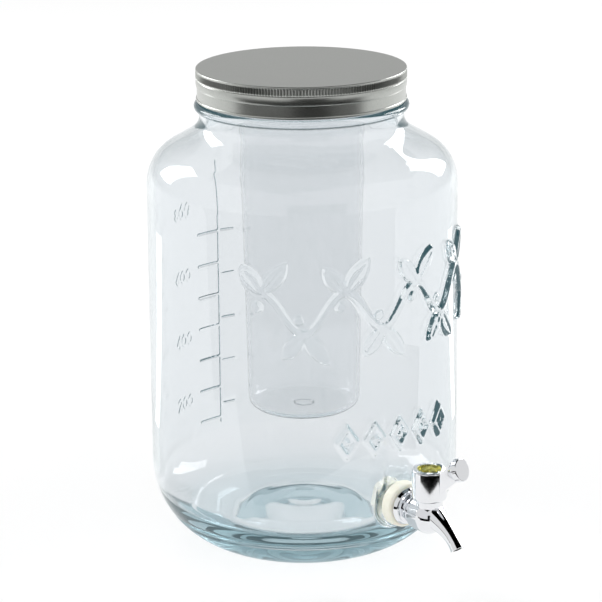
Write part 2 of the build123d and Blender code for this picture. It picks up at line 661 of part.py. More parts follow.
with BuildPart() as cap_insert:
    with BuildSketch(valve_plane(CAP_SEAT_Z)):
        Circle(CAP_RADIUS)
    extrude(amount=1.9)
    fillet(cap_insert.edges().group_by(Axis.Z)[-1], radius=0.5)
    with BuildSketch(valve_plane(CAP_SEAT_Z + 1.9)):
        Circle(6.4)
        Circle(4.9, mode=Mode.SUBTRACT)
    extrude(amount=-0.6, mode=Mode.SUBTRACT)
    # a plain raised dot and dash tell open from shut
    with BuildSketch(valve_plane(CAP_SEAT_Z + 1.9)):
        SlotOverall(6.4, 1.8)
    extrude(amount=0.4)
save(cap_insert, "cap_insert")
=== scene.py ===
"""Looks for the glass dispenser: moulded glass, satin screw lid, clear inner tube and chrome lever tap."""

import math

import bpy
import numpy as np
from mathutils import Matrix, Vector


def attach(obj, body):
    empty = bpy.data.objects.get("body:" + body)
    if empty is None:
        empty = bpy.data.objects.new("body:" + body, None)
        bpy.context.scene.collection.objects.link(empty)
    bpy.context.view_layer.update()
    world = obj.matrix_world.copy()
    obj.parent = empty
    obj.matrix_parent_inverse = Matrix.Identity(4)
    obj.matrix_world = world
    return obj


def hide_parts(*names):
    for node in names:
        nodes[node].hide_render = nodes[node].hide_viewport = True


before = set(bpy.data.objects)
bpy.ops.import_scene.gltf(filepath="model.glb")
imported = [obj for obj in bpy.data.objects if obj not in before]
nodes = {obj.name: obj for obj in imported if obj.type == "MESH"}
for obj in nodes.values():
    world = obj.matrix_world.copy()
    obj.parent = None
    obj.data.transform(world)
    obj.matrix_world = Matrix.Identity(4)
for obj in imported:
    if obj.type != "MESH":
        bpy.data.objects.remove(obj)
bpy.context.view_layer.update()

MM = 0.001
MIDDLE = (0, 0, 0.16)  # what the studio faces, in metres

# ---------------------------------------------------------------- sizes shared with the CAD, in millimetres
WALL_RADIUS = 105.8
HEEL_WIDTH = 56.7
HEEL_HEIGHT = 58.7
BODY_TOP_RADIUS = 105.0
BODY_TOP_Z = 252.9
SHOULDER_WIDTH = 23.4
SHOULDER_HEIGHT = 28.65
SHOULDER_TURN = 62.7
SHOULDER_PULL = 14.0
NECK_RADIUS = 68.9
NECK_Z = 299.0
NECK_PULL = 9.0
BEAD_RADIUS = 72.2
BEAD_BOTTOM_Z = 303.5
BEAD_TOP_Z = 309.4
FINISH_RADIUS = 67.3
MOUTH_RADIUS = 64.4
RIM_Z = 328.4
GLASS = 4.5
FLOOR_Z = 25.0
FLOOR_RISE = 2.5
FLOOR_STEP = 1.5
FLOOR_SLOPE = 2.0
INNER_HEEL = 24.0
PUSH_UP = 9.0
RESTING_RING = 3.5
THREAD_PITCH = 6.35
THREAD_TURNS = 1.15

LID_RADIUS = 70.6
LID_TOP_Z = 331.9
LID_BOTTOM_Z = 310.4
LID_SHEET = 0.5
KNURLS = 220

INSERT_BOTTOM_Z = 95.0
INSERT_FOOT_RADIUS = 38.4
INSERT_TOP_RADIUS = 42.6
INSERT_WALL = 2.0
FLANGE_RADIUS = 66.9
FLANGE_THICKNESS = 1.8
SEAT_RING_DEPTH = 6.0

TAP_Z = 54.0
BARREL_Y = -137.2
PAD_FACE_Y = -106.0
PAD_INNER_Y = -98.2

# ---------------------------------------------------------------- sizes of the visible skins alone
KNURL_DEPTH = 0.7  # the CAD's lid has 0.45; this is deeper, so that the knurls show
THREAD_START = 5.5
THREAD_HEIGHT = 1.9
PAD_RADIUS = 16.5
PAD_INNER_RADIUS = 14.0
PAD_BLEND = 3.0
INSERT_FOOT_ROUND = 7.0


# ---------------------------------------------------------------- curves for profiles
def line(start, end, count=2):
    """Points on a straight run, both ends included."""
    share = np.linspace(0, 1, count)[:, None]
    return np.array(start) * (1 - share) + np.array(end) * share


def arc(centre, width, height, start_deg, end_deg, count):
    """Points on part of an ellipse."""
    angle = np.radians(np.linspace(start_deg, end_deg, count))
    return np.stack([centre[0] + width * np.cos(angle), centre[1] + height * np.sin(angle)], 1)


def bezier(p0, p1, p2, p3, count):
    """Points on a cubic Bezier curve."""
    t = np.linspace(0, 1, count)[:, None]
    p0, p1, p2, p3 = (np.array(p, float) for p in (p0, p1, p2, p3))
    return (1 - t) ** 3 * p0 + 3 * t * (1 - t) ** 2 * p1 + 3 * t * t * (1 - t) * p2 + t**3 * p3


def dome(rim_radius, rim_z, rise, count):
    """Points on a shallow spherical dome, from the axis out to its rim."""
    sphere = (rim_radius**2 + rise**2) / (2 * rise)
    turn = math.degrees(math.asin(rim_radius / sphere))
    return arc((0, rim_z + rise - sphere), sphere, sphere, 90, 90 - turn, count)


def joined(*runs):
    """One profile out of several runs, dropping repeated end points."""
    points = [runs[0]]
    for run in runs[1:]:
        points.append(run[1:] if np.allclose(points[-1][-1], run[0], atol=1e-6) else run)
    return np.vstack(points)


# ---------------------------------------------------------------- mesh helpers
def smooth_step(edge0, edge1, x):
    """0 below edge0, 1 above edge1, eased in between."""
    t = np.clip((x - edge0) / (edge1 - edge0), 0, 1)
    return t * t * (3 - 2 * t)


def add_mesh(name, vertices, faces, sharp_angle=35):
    """A smooth-shaded mesh object in metres from vertices in millimetres."""
    mesh = bpy.data.meshes.new(name)
    mesh.from_pydata((np.asarray(vertices) * MM).tolist(), [], faces)
    mesh.validate()
    mesh.shade_smooth()
    mesh.set_sharp_from_angle(angle=math.radians(sharp_angle))
    obj = bpy.data.objects.new(name, mesh)
    bpy.context.scene.collection.objects.link(obj)
    return obj


def lathe_grid(profile, columns):
    """Radius, height and turn of every point of a profile revolved about Z, as rows by columns."""
    turn = np.linspace(0, 2 * math.pi, columns, endpoint=False)
    radius = np.repeat(profile[:, 0:1], columns, 1)
    height = np.repeat(profile[:, 1:2], columns, 1)
    return radius, height, np.repeat(turn[None, :], len(profile), 0)


def lathe_faces(rows, columns, closed):
    """Quads of a revolved grid; closed joins the last row to the first."""
    faces = []
    for row in range(rows if closed else rows - 1):
        following = (row + 1) % rows
        for column in range(columns):
            beside = (column + 1) % columns
            faces.append(
                (
                    row * columns + column,
                    row * columns + beside,
                    following * columns + beside,
                    following * columns + column,
                )
            )
    return faces


def lathe(name, profile, columns=192, closed=True, sharp_angle=35):
    """A revolved piece about Z. Points on the axis are kept a hair off it, so every face is a quad."""
    radius, height, turn = lathe_grid(np.maximum(profile, [[1e-3, -1e9]]), columns)
    vertices = np.stack([radius * np.cos(turn), radius * np.sin(turn), height], -1).reshape(-1, 3)
    return add_mesh(name, vertices, lathe_faces(len(profile), columns, closed), sharp_angle)


# ---------------------------------------------------------------- relief on the jar's wall, in millimetres
def segment(s, z, a, b, half_width):
    """Signed distance to a rounded bar from a to b."""
    px, pz = s - a[0], z - a[1]
    dx, dz = b[0] - a[0], b[1] - a[1]
    share = np.clip((px * dx + pz * dz) / (dx * dx + dz * dz), 0, 1)
    return np.hypot(px - share * dx, pz - share * dz) - half_width


def leaf(s, z, root, direction_deg, length, width):
    """Signed distance to a pointed leaf and to its middle vein."""
    angle = math.radians(direction_deg)
    along = (s - root[0]) * math.cos(angle) + (z - root[1]) * math.sin(angle) - length / 2
    across = np.abs(-(s - root[0]) * math.sin(angle) + (z - root[1]) * math.cos(angle))
    bend = (length**2 / 4 + width**2 / 4) / width
    blade = np.hypot(along, across + bend - width / 2) - bend
    vein = np.maximum(across - 0.5, np.abs(along) - length * 0.36)
    return blade, vein


VINE_Z = 191.0
VINE_HALF = 93.3
VINE_WAVE = 13.0
VINE_LENGTH = 53.3
LOZENGE_Z = 102.5
LOZENGE_PITCH = 19.5
LOZENGES = 5
VINE_NODES = 8
LEAF_WIDTH = 11
ORNAMENT_HEIGHT = 2.6


def vine_height(along):
    """Height of the vine's stem at a distance along the wall."""
    return VINE_Z + VINE_WAVE * np.sin(2 * math.pi * along / VINE_LENGTH)


def relief(s, z):
    """Height of the moulded ornament over the front wall, in millimetres."""
    slope = VINE_WAVE * 2 * math.pi / VINE_LENGTH * np.cos(2 * math.pi * s / VINE_LENGTH)
    stem = np.abs(z - vine_height(s)) / np.sqrt(1 + slope**2) - 2.3
    stem = np.maximum(stem, np.abs(s) - VINE_HALF)
    shapes = [stem]
    veins = np.full_like(s, 1e3)
    for number in range(VINE_NODES):
        root_s = -VINE_HALF + number * VINE_LENGTH / 2
        up = -1 if number % 2 else 1
        root = (root_s, float(vine_height(root_s)))
        for lean, length in ((52, 27), (128, 22)):
            body, vein = leaf(s, z, root, lean * up, length, LEAF_WIDTH)
            shapes.append(body)
            veins = np.minimum(veins, vein)
        berry = (root_s - 3, root[1] - up * 9)
        shapes.append(np.hypot(s - berry[0], z - berry[1]) - 3.2)
    for number in range(LOZENGES):
        centre = (number - 2) * LOZENGE_PITCH
        diamond = (np.abs(s - centre) / 8.2 + np.abs(z - LOZENGE_Z) / 12.5 - 1) * 6.9
        shapes.append(np.abs(diamond + 1.7) - 1.7)
        shapes.append(np.hypot(s - centre, (z - LOZENGE_Z) * 0.8) - 1.9)
    distance = np.minimum.reduce(shapes)
    height = ORNAMENT_HEIGHT * smooth_step(0.6, -0.8, distance)
    return height - 0.8 * smooth_step(0.4, -0.4, veins) * (height > 0.5)


DIGITS = {
    "0": [(-0.3, 0.3), (-0.3, 0.7), (0, 1), (0.3, 0.7), (0.3, 0.3), (0, 0), (-0.3, 0.3)],
    "1": [(-0.25, 0.8), (0, 1), (0, 0)],
    "2": [(-0.3, 0.8), (0, 1), (0.3, 0.75), (-0.3, 0), (0.3, 0)],
    "3": [(-0.3, 1), (0.3, 1), (0, 0.6), (0.3, 0.3), (0, 0), (-0.3, 0.1)],
    "4": [(0.15, 0), (0.15, 1), (-0.3, 0.35), (0.35, 0.35)],
    "5": [(0.3, 1), (-0.25, 1), (-0.3, 0.55), (0.3, 0.4), (0.1, 0), (-0.3, 0.05)],
    "6": [(0.25, 1), (-0.3, 0.35), (0, 0), (0.3, 0.3), (-0.2, 0.5)],
    "8": [(-0.25, 0.75), (0, 1), (0.25, 0.75), (-0.3, 0.25), (0, 0), (0.3, 0.25), (-0.25, 0.75)],
}
SCALE_LINE_Z = (52, 253)
SCALE_TOP_TICK = 197.0
LEFT_TICKS = 7
LEFT_TICK_PITCH = 23.5
LEFT_TICK_LENGTH = 20
RIGHT_TICKS = 5
RIGHT_TICK_PITCH = 32.7
RIGHT_TICK_LENGTH = 13
LARGE_DIGIT = 8.5
LARGE_DIGIT_SPACING = 7
SMALL_DIGIT = 5.5


def scale_numbers():
    """Digit, left edge, base and size of every number: hundreds on the left, single digits on the right."""
    digits = []
    for number in range(4):
        base = SCALE_TOP_TICK + 16 - 2 * LEFT_TICK_PITCH * number
        for place, digit in enumerate(str(800 - 200 * number)):
            digits.append((digit, -46 + LARGE_DIGIT_SPACING * place, base, LARGE_DIGIT))
    for number in range(RIGHT_TICKS):
        base = SCALE_TOP_TICK - 3 - number * RIGHT_TICK_PITCH
        digits.append((str(6 - number), 19, base, SMALL_DIGIT))
    return digits


def scale_relief(s, z):
    """Height of the raised measuring scale at the back; s runs so that numbers read from outside."""
    shapes = [segment(s, z, (0, SCALE_LINE_Z[0]), (0, SCALE_LINE_Z[1]), 0.9)]
    for number in range(LEFT_TICKS):
        tick_z = SCALE_TOP_TICK - number * LEFT_TICK_PITCH
        shapes.append(segment(s, z, (0, tick_z), (-LEFT_TICK_LENGTH, tick_z), 0.8))
    for number in range(RIGHT_TICKS):
        tick_z = SCALE_TOP_TICK - number * RIGHT_TICK_PITCH
        shapes.append(segment(s, z, (0, tick_z), (RIGHT_TICK_LENGTH, tick_z), 0.8))
    ticks = np.minimum.reduce(shapes)
    strokes = []
    for digit, left, base, size in scale_numbers():
        corners = DIGITS[digit]
        for a, b in zip(corners, corners[1:]):
            start = (left + a[0] * size, base + a[1] * size)
            end = (left + b[0] * size, base + b[1] * size)
            strokes.append(segment(s, z, start, end, 0.7))
    numbers = np.minimum.reduce(strokes)
    # each rib stands in a shallow trough, as pressed ribs do
    ribs = 1.15 * smooth_step(0.6, -0.6, ticks) - 0.45 * smooth_step(2.4, 0.6, ticks)
    return ribs + 0.6 * smooth_step(0.6, -0.6, numbers)


# ---------------------------------------------------------------- glass jar
def jar_outside_profile():
    """Outside of the jar, from the push-up at the axis to the top of the rim."""
    foot = WALL_RADIUS - HEEL_WIDTH
    ring_inner = foot - RESTING_RING
    shoulder_centre = (BODY_TOP_RADIUS - SHOULDER_WIDTH, BODY_TOP_Z)
    shoulder = arc(shoulder_centre, SHOULDER_WIDTH, SHOULDER_HEIGHT, 0, SHOULDER_TURN, 28)
    turn = math.radians(SHOULDER_TURN)
    slope = np.array([-SHOULDER_WIDTH * math.sin(turn), SHOULDER_HEIGHT * math.cos(turn)])
    slope /= np.linalg.norm(slope)
    end = shoulder[-1]
    bead_mid = (NECK_RADIUS, (BEAD_BOTTOM_Z + BEAD_TOP_Z) / 2)
    neck_low = (NECK_RADIUS, NECK_Z - NECK_PULL)
    return joined(
        dome(ring_inner, 0, PUSH_UP, 16),
        line((ring_inner, 0), (foot, 0), 3),
        arc((foot, HEEL_HEIGHT), HEEL_WIDTH, HEEL_HEIGHT, 270, 360, 110),
        line((WALL_RADIUS, HEEL_HEIGHT), (BODY_TOP_RADIUS, BODY_TOP_Z), 217),
        shoulder,
        bezier(end, end + slope * SHOULDER_PULL, neck_low, (NECK_RADIUS, NECK_Z), 26),
        line((NECK_RADIUS, NECK_Z), (NECK_RADIUS, BEAD_BOTTOM_Z), 4),
        arc(bead_mid, BEAD_RADIUS - NECK_RADIUS, (BEAD_TOP_Z - BEAD_BOTTOM_Z) / 2, -90, 90, 12),
        line((NECK_RADIUS, BEAD_TOP_Z), (FINISH_RADIUS, BEAD_TOP_Z), 3),
        line((FINISH_RADIUS, BEAD_TOP_Z), (FINISH_RADIUS, RIM_Z - 1.2), 26),
        arc((FINISH_RADIUS - 1.2, RIM_Z - 1.2), 1.2, 1.2, 0, 90, 5),
    )


def jar_inside_profile():
    """Inside of the jar, from the rim back down to the floor's centre."""
    heel = (WALL_RADIUS - GLASS - INNER_HEEL, FLOOR_Z + INNER_HEEL)
    shoulder_centre = (BODY_TOP_RADIUS - SHOULDER_WIDTH, BODY_TOP_Z)
    shoulder = arc(shoulder_centre, SHOULDER_WIDTH - GLASS, SHOULDER_HEIGHT - GLASS, 0, SHOULDER_TURN, 14)
    turn = math.radians(SHOULDER_TURN)
    width, height = SHOULDER_WIDTH - GLASS, SHOULDER_HEIGHT - GLASS
    slope = np.array([-width * math.sin(turn), height * math.cos(turn)])
    slope /= np.linalg.norm(slope)
    end = shoulder[-1]
    neck_low = (MOUTH_RADIUS, NECK_Z - NECK_PULL - 5)
    neck = bezier(end, end + slope * SHOULDER_PULL, neck_low, (MOUTH_RADIUS, NECK_Z - 1), 16)
    # the floor starts with a small step down, and has faint rings from pressing
    floor_edge = (heel[0] - FLOOR_SLOPE, FLOOR_Z - FLOOR_STEP)
    floor_curve = dome(*floor_edge, FLOOR_RISE, 60)[::-1]
    rings = smooth_step(66, 50, floor_curve[:, 0]) * smooth_step(0, 8, floor_curve[:, 0])
    floor_curve[:, 1] += 0.22 * np.cos(floor_curve[:, 0] * 2 * math.pi / 15) * rings
    return joined(
        line((MOUTH_RADIUS, RIM_Z), (MOUTH_RADIUS, NECK_Z - 1), 8),
        neck[::-1],
        shoulder[::-1],
        line((BODY_TOP_RADIUS - GLASS, BODY_TOP_Z), (WALL_RADIUS - GLASS, heel[1]), 24),
        arc(heel, INNER_HEEL, INNER_HEEL, 360, 270, 44),
        line((heel[0], FLOOR_Z), floor_edge, 4),
        floor_curve,
    )


def jar_thread(height, turn):
    """Extra radius of the raised helical thread on the finish."""
    start_z = BEAD_TOP_Z + THREAD_START
    extra = np.zeros_like(height)
    for wrap in range(2):
        middle = start_z + THREAD_PITCH * (turn / (2 * math.pi) + wrap)
        depth = THREAD_HEIGHT * smooth_step(1.7, 0.5, np.abs(height - middle))
        inside = (turn + wrap * 2 * math.pi) < 2 * math.pi * THREAD_TURNS
        extra = np.maximum(extra, depth * inside)
    return extra


def flatten_pad(points, face_y, pad_radius, blend_width):
    """Draws the wall near the tap's axis onto a flat round pad."""
    away = np.hypot(points[..., 0], points[..., 2] - TAP_Z)
    near = (points[..., 1] < 0) & (away < pad_radius + blend_width)
    share = smooth_step(pad_radius + blend_width, pad_radius, away)
    points[..., 1] = np.where(near, points[..., 1] * (1 - share) + face_y * share, points[..., 1])


def build_jar(columns=720):
    """The jar as one closed skin with its ornament, scale and thread moulded in."""
    outside, inside = jar_outside_profile(), jar_inside_profile()
    radius, height, turn = lathe_grid(np.maximum(outside, [[1e-3, -1e9]]), columns)
    # distance along the wall from the tap, and from the scale at the back
    from_front = (turn - math.radians(270) + math.pi) % (2 * math.pi) - math.pi
    from_back = (turn - math.radians(90) + math.pi) % (2 * math.pi) - math.pi
    on_wall = (height > 48) & (height < 256) & (radius > 100)
    radius = radius + relief(from_front * radius, height) * on_wall * (np.abs(from_front) < 1.15)
    radius = radius + scale_relief(-from_back * radius, height) * on_wall * (np.abs(from_back) < 0.6)
    on_finish = (height > BEAD_TOP_Z + 0.5) & (height < RIM_Z - 1.0) & (radius > FINISH_RADIUS - 0.1)
    radius = radius + jar_thread(height, turn) * on_finish
    outer = np.stack([radius * np.cos(turn), radius * np.sin(turn), height], -1)
    flatten_pad(outer, PAD_FACE_Y, PAD_RADIUS, PAD_BLEND)
    radius, height, turn = lathe_grid(np.maximum(inside, [[1e-3, -1e9]]), columns)
    inner = np.stack([radius * np.cos(turn), radius * np.sin(turn), height], -1)
    flatten_pad(inner, PAD_INNER_Y, PAD_INNER_RADIUS, PAD_BLEND)
    vertices = np.concatenate([outer, inner]).reshape(-1, 3)
    faces = lathe_faces(len(outside) + len(inside), columns, closed=True)
    return add_mesh("jar_glass_skin", vertices, faces, sharp_angle=60)


jar = build_jar()
jar.visible_shadow = False  # light reaches what stands in and under clear glass
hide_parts("glass_jar")
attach(jar, "jar")


# ---------------------------------------------------------------- lid
def build_lid(columns=880):
    """The screw lid: flat top, knurled band, bright bead, plain skirt and wired edge."""
    skirt = LID_RADIUS - KNURL_DEPTH
    outside = joined(
        line((0, LID_TOP_Z), (LID_RADIUS - 4, LID_TOP_Z), 12),
        line((LID_RADIUS - 4, LID_TOP_Z), (LID_RADIUS - 0.8, LID_TOP_Z), 6),
        arc((LID_RADIUS - 0.8, LID_TOP_Z - 0.8), 0.8, 0.8, 90, 0, 6),
        line((LID_RADIUS, LID_TOP_Z - 0.8), (LID_RADIUS, LID_TOP_Z - 1.1), 2),
        line((LID_RADIUS, 330.5), (LID_RADIUS, 325.6), 12),
        arc((skirt, 322.3), KNURL_DEPTH, 3.0, 90, -90, 20),
        line((skirt, 319.2), (skirt, 312.4), 8),
        arc((skirt, 311.4), KNURL_DEPTH, 1.0, 90, -90, 10),
    )
    inner_wall, ceiling_z = skirt - LID_SHEET, LID_TOP_Z - LID_SHEET
    inside = joined(
        line((inner_wall, LID_BOTTOM_Z), (inner_wall, ceiling_z), 3),
        line((inner_wall, ceiling_z), (0, ceiling_z), 3),
    )
    profile = joined(outside, inside)
    radius, height, turn = lathe_grid(np.maximum(profile, [[1e-3, -1e9]]), columns)
    is_outer = np.zeros_like(radius, bool)
    is_outer[: len(outside)] = True
    band = smooth_step(325.5, 325.9, height) * smooth_step(330.7, 330.3, height)
    flute = 0.5 - 0.5 * np.cos(KNURLS * turn)
    radius = radius - np.where(is_outer & (radius > LID_RADIUS - 0.1), KNURL_DEPTH * band * flute, 0)
    vertices = np.stack([radius * np.cos(turn), radius * np.sin(turn), height], -1).reshape(-1, 3)
    faces = lathe_faces(len(profile), columns, closed=False)
    return add_mesh("lid_shell_skin", vertices, faces, sharp_angle=50)


lid = build_lid()
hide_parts("lid_shell")
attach(lid, "lid")


# ---------------------------------------------------------------- inner tube
def build_insert():
    """The clear hanging tube with its flange, rounded foot and small moulding gate."""
    top = RIM_Z + FLANGE_THICKNESS
    fit = MOUTH_RADIUS - 0.4
    step_z = RIM_Z - SEAT_RING_DEPTH
    bottom = INSERT_BOTTOM_Z
    floor_z = bottom + INSERT_WALL
    round_z = bottom + INSERT_FOOT_ROUND
    flat = INSERT_FOOT_RADIUS - INSERT_FOOT_ROUND
    gate_radius, gate_edge = 6.4, 0.8
    neck = INSERT_TOP_RADIUS + 1.0
    outside = joined(
        line((0, bottom), (gate_radius - gate_edge, bottom), 3),
        arc((gate_radius, bottom), gate_edge, gate_edge, 180, 360, 8),
        line((gate_radius + gate_edge, bottom), (flat, bottom), 6),
        arc((flat, round_z), INSERT_FOOT_ROUND, INSERT_FOOT_ROUND, 270, 359, 12),
        line((INSERT_FOOT_RADIUS, round_z), (INSERT_TOP_RADIUS, step_z - 1.0), 20),
        arc((neck, step_z - 1.0), 1.0, 1.0, 180, 90, 5),
        line((neck, step_z), (fit - 1.0, step_z), 4),
        arc((fit - 1.0, step_z + 1.0), 1.0, 1.0, -90, 0, 5),
        line((fit, step_z + 1.0), (fit, RIM_Z), 3),
        line((fit, RIM_Z), (FLANGE_RADIUS, RIM_Z), 3),
        line((FLANGE_RADIUS, RIM_Z), (FLANGE_RADIUS, top), 3),
    )
    bore, shelf_z = fit - INSERT_WALL, step_z + INSERT_WALL
    tube_top, tube_foot = INSERT_TOP_RADIUS - INSERT_WALL, INSERT_FOOT_RADIUS - INSERT_WALL
    inner_round = INSERT_FOOT_ROUND - INSERT_WALL
    inside = joined(
        line((FLANGE_RADIUS, top), (bore, top), 3),
        line((bore, top), (bore, shelf_z), 3),
        line((bore, shelf_z), (tube_top, shelf_z), 4),
        line((tube_top, shelf_z), (tube_foot, round_z), 20),
        arc((flat, round_z), inner_round, inner_round, 359, 270, 10),
        line((flat, floor_z), (0, floor_z), 6),
    )
    return lathe("inner_tube_skin", joined(outside, inside), 256, closed=True, sharp_angle=45)


insert = build_insert()
insert.visible_shadow = False
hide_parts("ice_insert")
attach(insert, "insert")


# ---------------------------------------------------------------- materials
def new_material(name):
    """A material with nothing in its node tree but a shader joined to the output."""
    material = bpy.data.materials.new(name)
    material.use_nodes = True
    shader = material.node_tree.nodes["Principled BSDF"]
    return material, shader


def add_node(material, kind, **settings):
    """A node with its settings and input values."""
    node = material.node_tree.nodes.new(kind)
    for key, value in settings.items():
        if hasattr(node, key):
            setattr(node, key, value)
        else:
            node.inputs[key.replace("_", " ")].default_value = value
    return node


def link(material, source, target):
    """Joins two sockets."""
    material.node_tree.links.new(source, target)


def noise_bump(material, shader, scale, strength, distance, detail=3.0):
    """Fine procedural unevenness on a surface."""
    place = add_node(material, "ShaderNodeTexCoord")
    noise = add_node(material, "ShaderNodeTexNoise", Scale=scale, Detail=detail)
    bump = add_node(material, "ShaderNodeBump", Strength=strength, Distance=distance)
    link(material, place.outputs["Object"], noise.inputs["Vector"])
    link(material, noise.outputs["Fac"], bump.inputs["Height"])
    link(material, bump.outputs["Normal"], shader.inputs["Normal"])
    return noise


def varied_roughness(material, shader, noise, low, high):
    """Roughness that drifts between two values with the noise."""
    spread = add_node(material, "ShaderNodeMapRange")
    spread.inputs["To Min"].default_value = low
    spread.inputs["To Max"].default_value = high
    link(material, noise.outputs["Fac"], spread.inputs["Value"])
    link(material, spread.outputs["Result"], shader.inputs["Roughness"])


def varied_colour(material, shader, noise, low, high):
    """Base colour that drifts between two colours with the noise."""
    ramp = add_node(material, "ShaderNodeValToRGB")
    ramp.color_ramp.elements[0].position = 0.3
    ramp.color_ramp.elements[0].color = (*low, 1)
    ramp.color_ramp.elements[1].position = 0.7
    ramp.color_ramp.elements[1].color = (*high, 1)
    link(material, noise.outputs["Fac"], ramp.inputs["Fac"])
    link(material, ramp.outputs["Color"], shader.inputs["Base Color"])


def glass_material():
    """Clear pressed glass, teal where it is thick, with a faintly wavy surface."""
    material, shader = new_material("pressed_glass")
    shader.inputs["Base Color"].default_value = (0.888, 0.880, 0.888, 1)
    shader.inputs["Transmission Weight"].default_value = 1.0
    shader.inputs["IOR"].default_value = 1.5
    # real glass gives off no light: this trace keeps long paths through the base from ending up black
    shader.inputs["Emission Color"].default_value = (0.40, 0.86, 1.0, 1)
    shader.inputs["Emission Strength"].default_value = 0.02
    noise = noise_bump(material, shader, 22, 0.12, 0.0006, detail=1.0)
    varied_roughness(material, shader, noise, 0.0, 0.015)
    absorb = add_node(material, "ShaderNodeVolumeAbsorption", Density=6.5)
    absorb.inputs["Color"].default_value = (0.0, 0.36, 0.44, 1)
    output = material.node_tree.nodes["Material Output"]
    link(material, absorb.outputs["Volume"], output.inputs["Volume"])
    return material


def clear_plastic_material():
    """Clear moulded plastic of the inner tube."""
    material, shader = new_material("clear_plastic")
    shader.inputs["Base Color"].default_value = (0.935, 0.94, 0.945, 1)
    shader.inputs["Transmission Weight"].default_value = 1.0
    shader.inputs["IOR"].default_value = 1.49
    noise = noise_bump(material, shader, 30, 0.06, 0.0004, detail=1.0)
    varied_roughness(material, shader, noise, 0.01, 0.04)
    return material


def chrome_material(name="bright_chrome", tint=(0.84, 0.85, 0.87)):
    """Polished plating with faint ripples and handling marks."""
    material, shader = new_material(name)
    shader.inputs["Base Color"].default_value = (*tint, 1)
    shader.inputs["Metallic"].default_value = 1.0
    noise = noise_bump(material, shader, 160, 0.03, 0.0002, detail=2.0)
    varied_roughness(material, shader, noise, 0.03, 0.08)
    return material


def lid_material():
    """Grey satin metal with a fine grain."""
    material, shader = new_material("satin_lid")
    shader.inputs["Metallic"].default_value = 1.0
    noise = noise_bump(material, shader, 900, 0.08, 0.0001, detail=4.0)
    varied_roughness(material, shader, noise, 0.26, 0.34)
    varied_colour(material, shader, noise, (0.46, 0.475, 0.45), (0.515, 0.53, 0.505))
    return material


def soft_material(name, low, high, roughness, bump=0.1, scale=400, subsurface=0.0):
    """Moulded silicone, rubber or plastic with a little colour drift."""
    material, shader = new_material(name)
    noise = noise_bump(material, shader, scale, bump, 0.0002)
    varied_colour(material, shader, noise, low, high)
    varied_roughness(material, shader, noise, roughness * 0.85, roughness * 1.15)
    shader.inputs["Subsurface Weight"].default_value = subsurface
    shader.inputs["Subsurface Radius"].default_value = (0.004, 0.003, 0.002)
    return material


def brass_material():
    """Bright gold-coloured plating of the cap."""
    material, shader = new_material("gold_plate")
    shader.inputs["Metallic"].default_value = 1.0
    noise = noise_bump(material, shader, 420, 0.35, 0.0003)
    varied_colour(material, shader, noise, (0.30, 0.28, 0.02), (0.58, 0.54, 0.09))
    varied_roughness(material, shader, noise, 0.10, 0.2)
    return material


chrome = chrome_material()
steel = chrome_material("stainless", (0.62, 0.62, 0.63))
cream = soft_material("cream_silicone", (0.84, 0.82, 0.70), (0.90, 0.88, 0.78), 0.42, subsurface=0.3)
nut_plastic = soft_material("nut_plastic", (0.84, 0.83, 0.75), (0.90, 0.89, 0.82), 0.35)
white_plastic = soft_material("white_plastic", (0.86, 0.86, 0.84), (0.92, 0.92, 0.90), 0.3)
rubber = soft_material("seal_rubber", (0.02, 0.02, 0.02), (0.05, 0.05, 0.05), 0.5)

jar.data.materials.append(glass_material())
insert.data.materials.append(clear_plastic_material())
lid.data.materials.append(lid_material())

NODE_MATERIALS = {
    "lid_liner": white_plastic,
    "tap_body": chrome,
    "flange_cup": chrome,
    "outer_gasket": cream,
    "inner_washer": cream,
    "slip_washer": white_plastic,
    "lock_nut": nut_plastic,
    "seat_seal": white_plastic,
    "bonnet_nut": chrome,
    "spring_washer": steel,
    "friction_washer": white_plastic,
    "valve_plug": steel,
    "plug_ring_lower": rubber,
    "plug_ring_upper": rubber,
    "handle": chrome,
    "lever_knob": chrome,
    "screw_washer": steel,
    "handle_screw": steel,
    "cap_insert": brass_material(),
}
for node_name, material in NODE_MATERIALS.items():
    node = nodes[node_name]
    node.data.materials.clear()
    node.data.materials.append(material)


# ---------------------------------------------------------------- floor, lights and camera
CAMERA_AZIMUTH = -36.3
CAMERA_DISTANCE = 1.5794
CAMERA_HEIGHT = 0.6447
CAMERA_PITCH = 0.2929
CAMERA_ROLL = -0.0088


def add_plane(name, size_x, size_y, location, normal, colour, emission=0.0):
    """A flat card of the studio, facing along its normal."""
    x, y = size_x / 2, size_y / 2
    corners = [(-x, -y, 0), (x, -y, 0), (x, y, 0), (-x, y, 0)]
    mesh = bpy.data.meshes.new(name)
    mesh.from_pydata(corners, [], [(0, 1, 2, 3)])
    obj = bpy.data.objects.new(name, mesh)
    bpy.context.scene.collection.objects.link(obj)
    obj.location = location
    obj.rotation_mode = "QUATERNION"
    obj.rotation_quaternion = Vector(normal).to_track_quat("Z", "Y")
    material, shader = new_material(name)
    shader.inputs["Base Color"].default_value = (*colour, 1)
    shader.inputs["Roughness"].default_value = 0.9
    shader.inputs["Specular IOR Level"].default_value = 0.0
    shader.inputs["Emission Color"].default_value = (1, 1, 1, 1)
    shader.inputs["Emission Strength"].default_value = emission
    mesh.materials.append(material)
    return obj


def around(azimuth, elevation, distance, target=MIDDLE):
    """A point seen from the target at that azimuth and elevation, azimuth 0 being in front of the tap."""
    a, e = math.radians(azimuth), math.radians(elevation)
    direction = Vector((math.sin(a) * math.cos(e), -math.cos(a) * math.cos(e), math.sin(e)))
    return Vector(target) + distance * direction


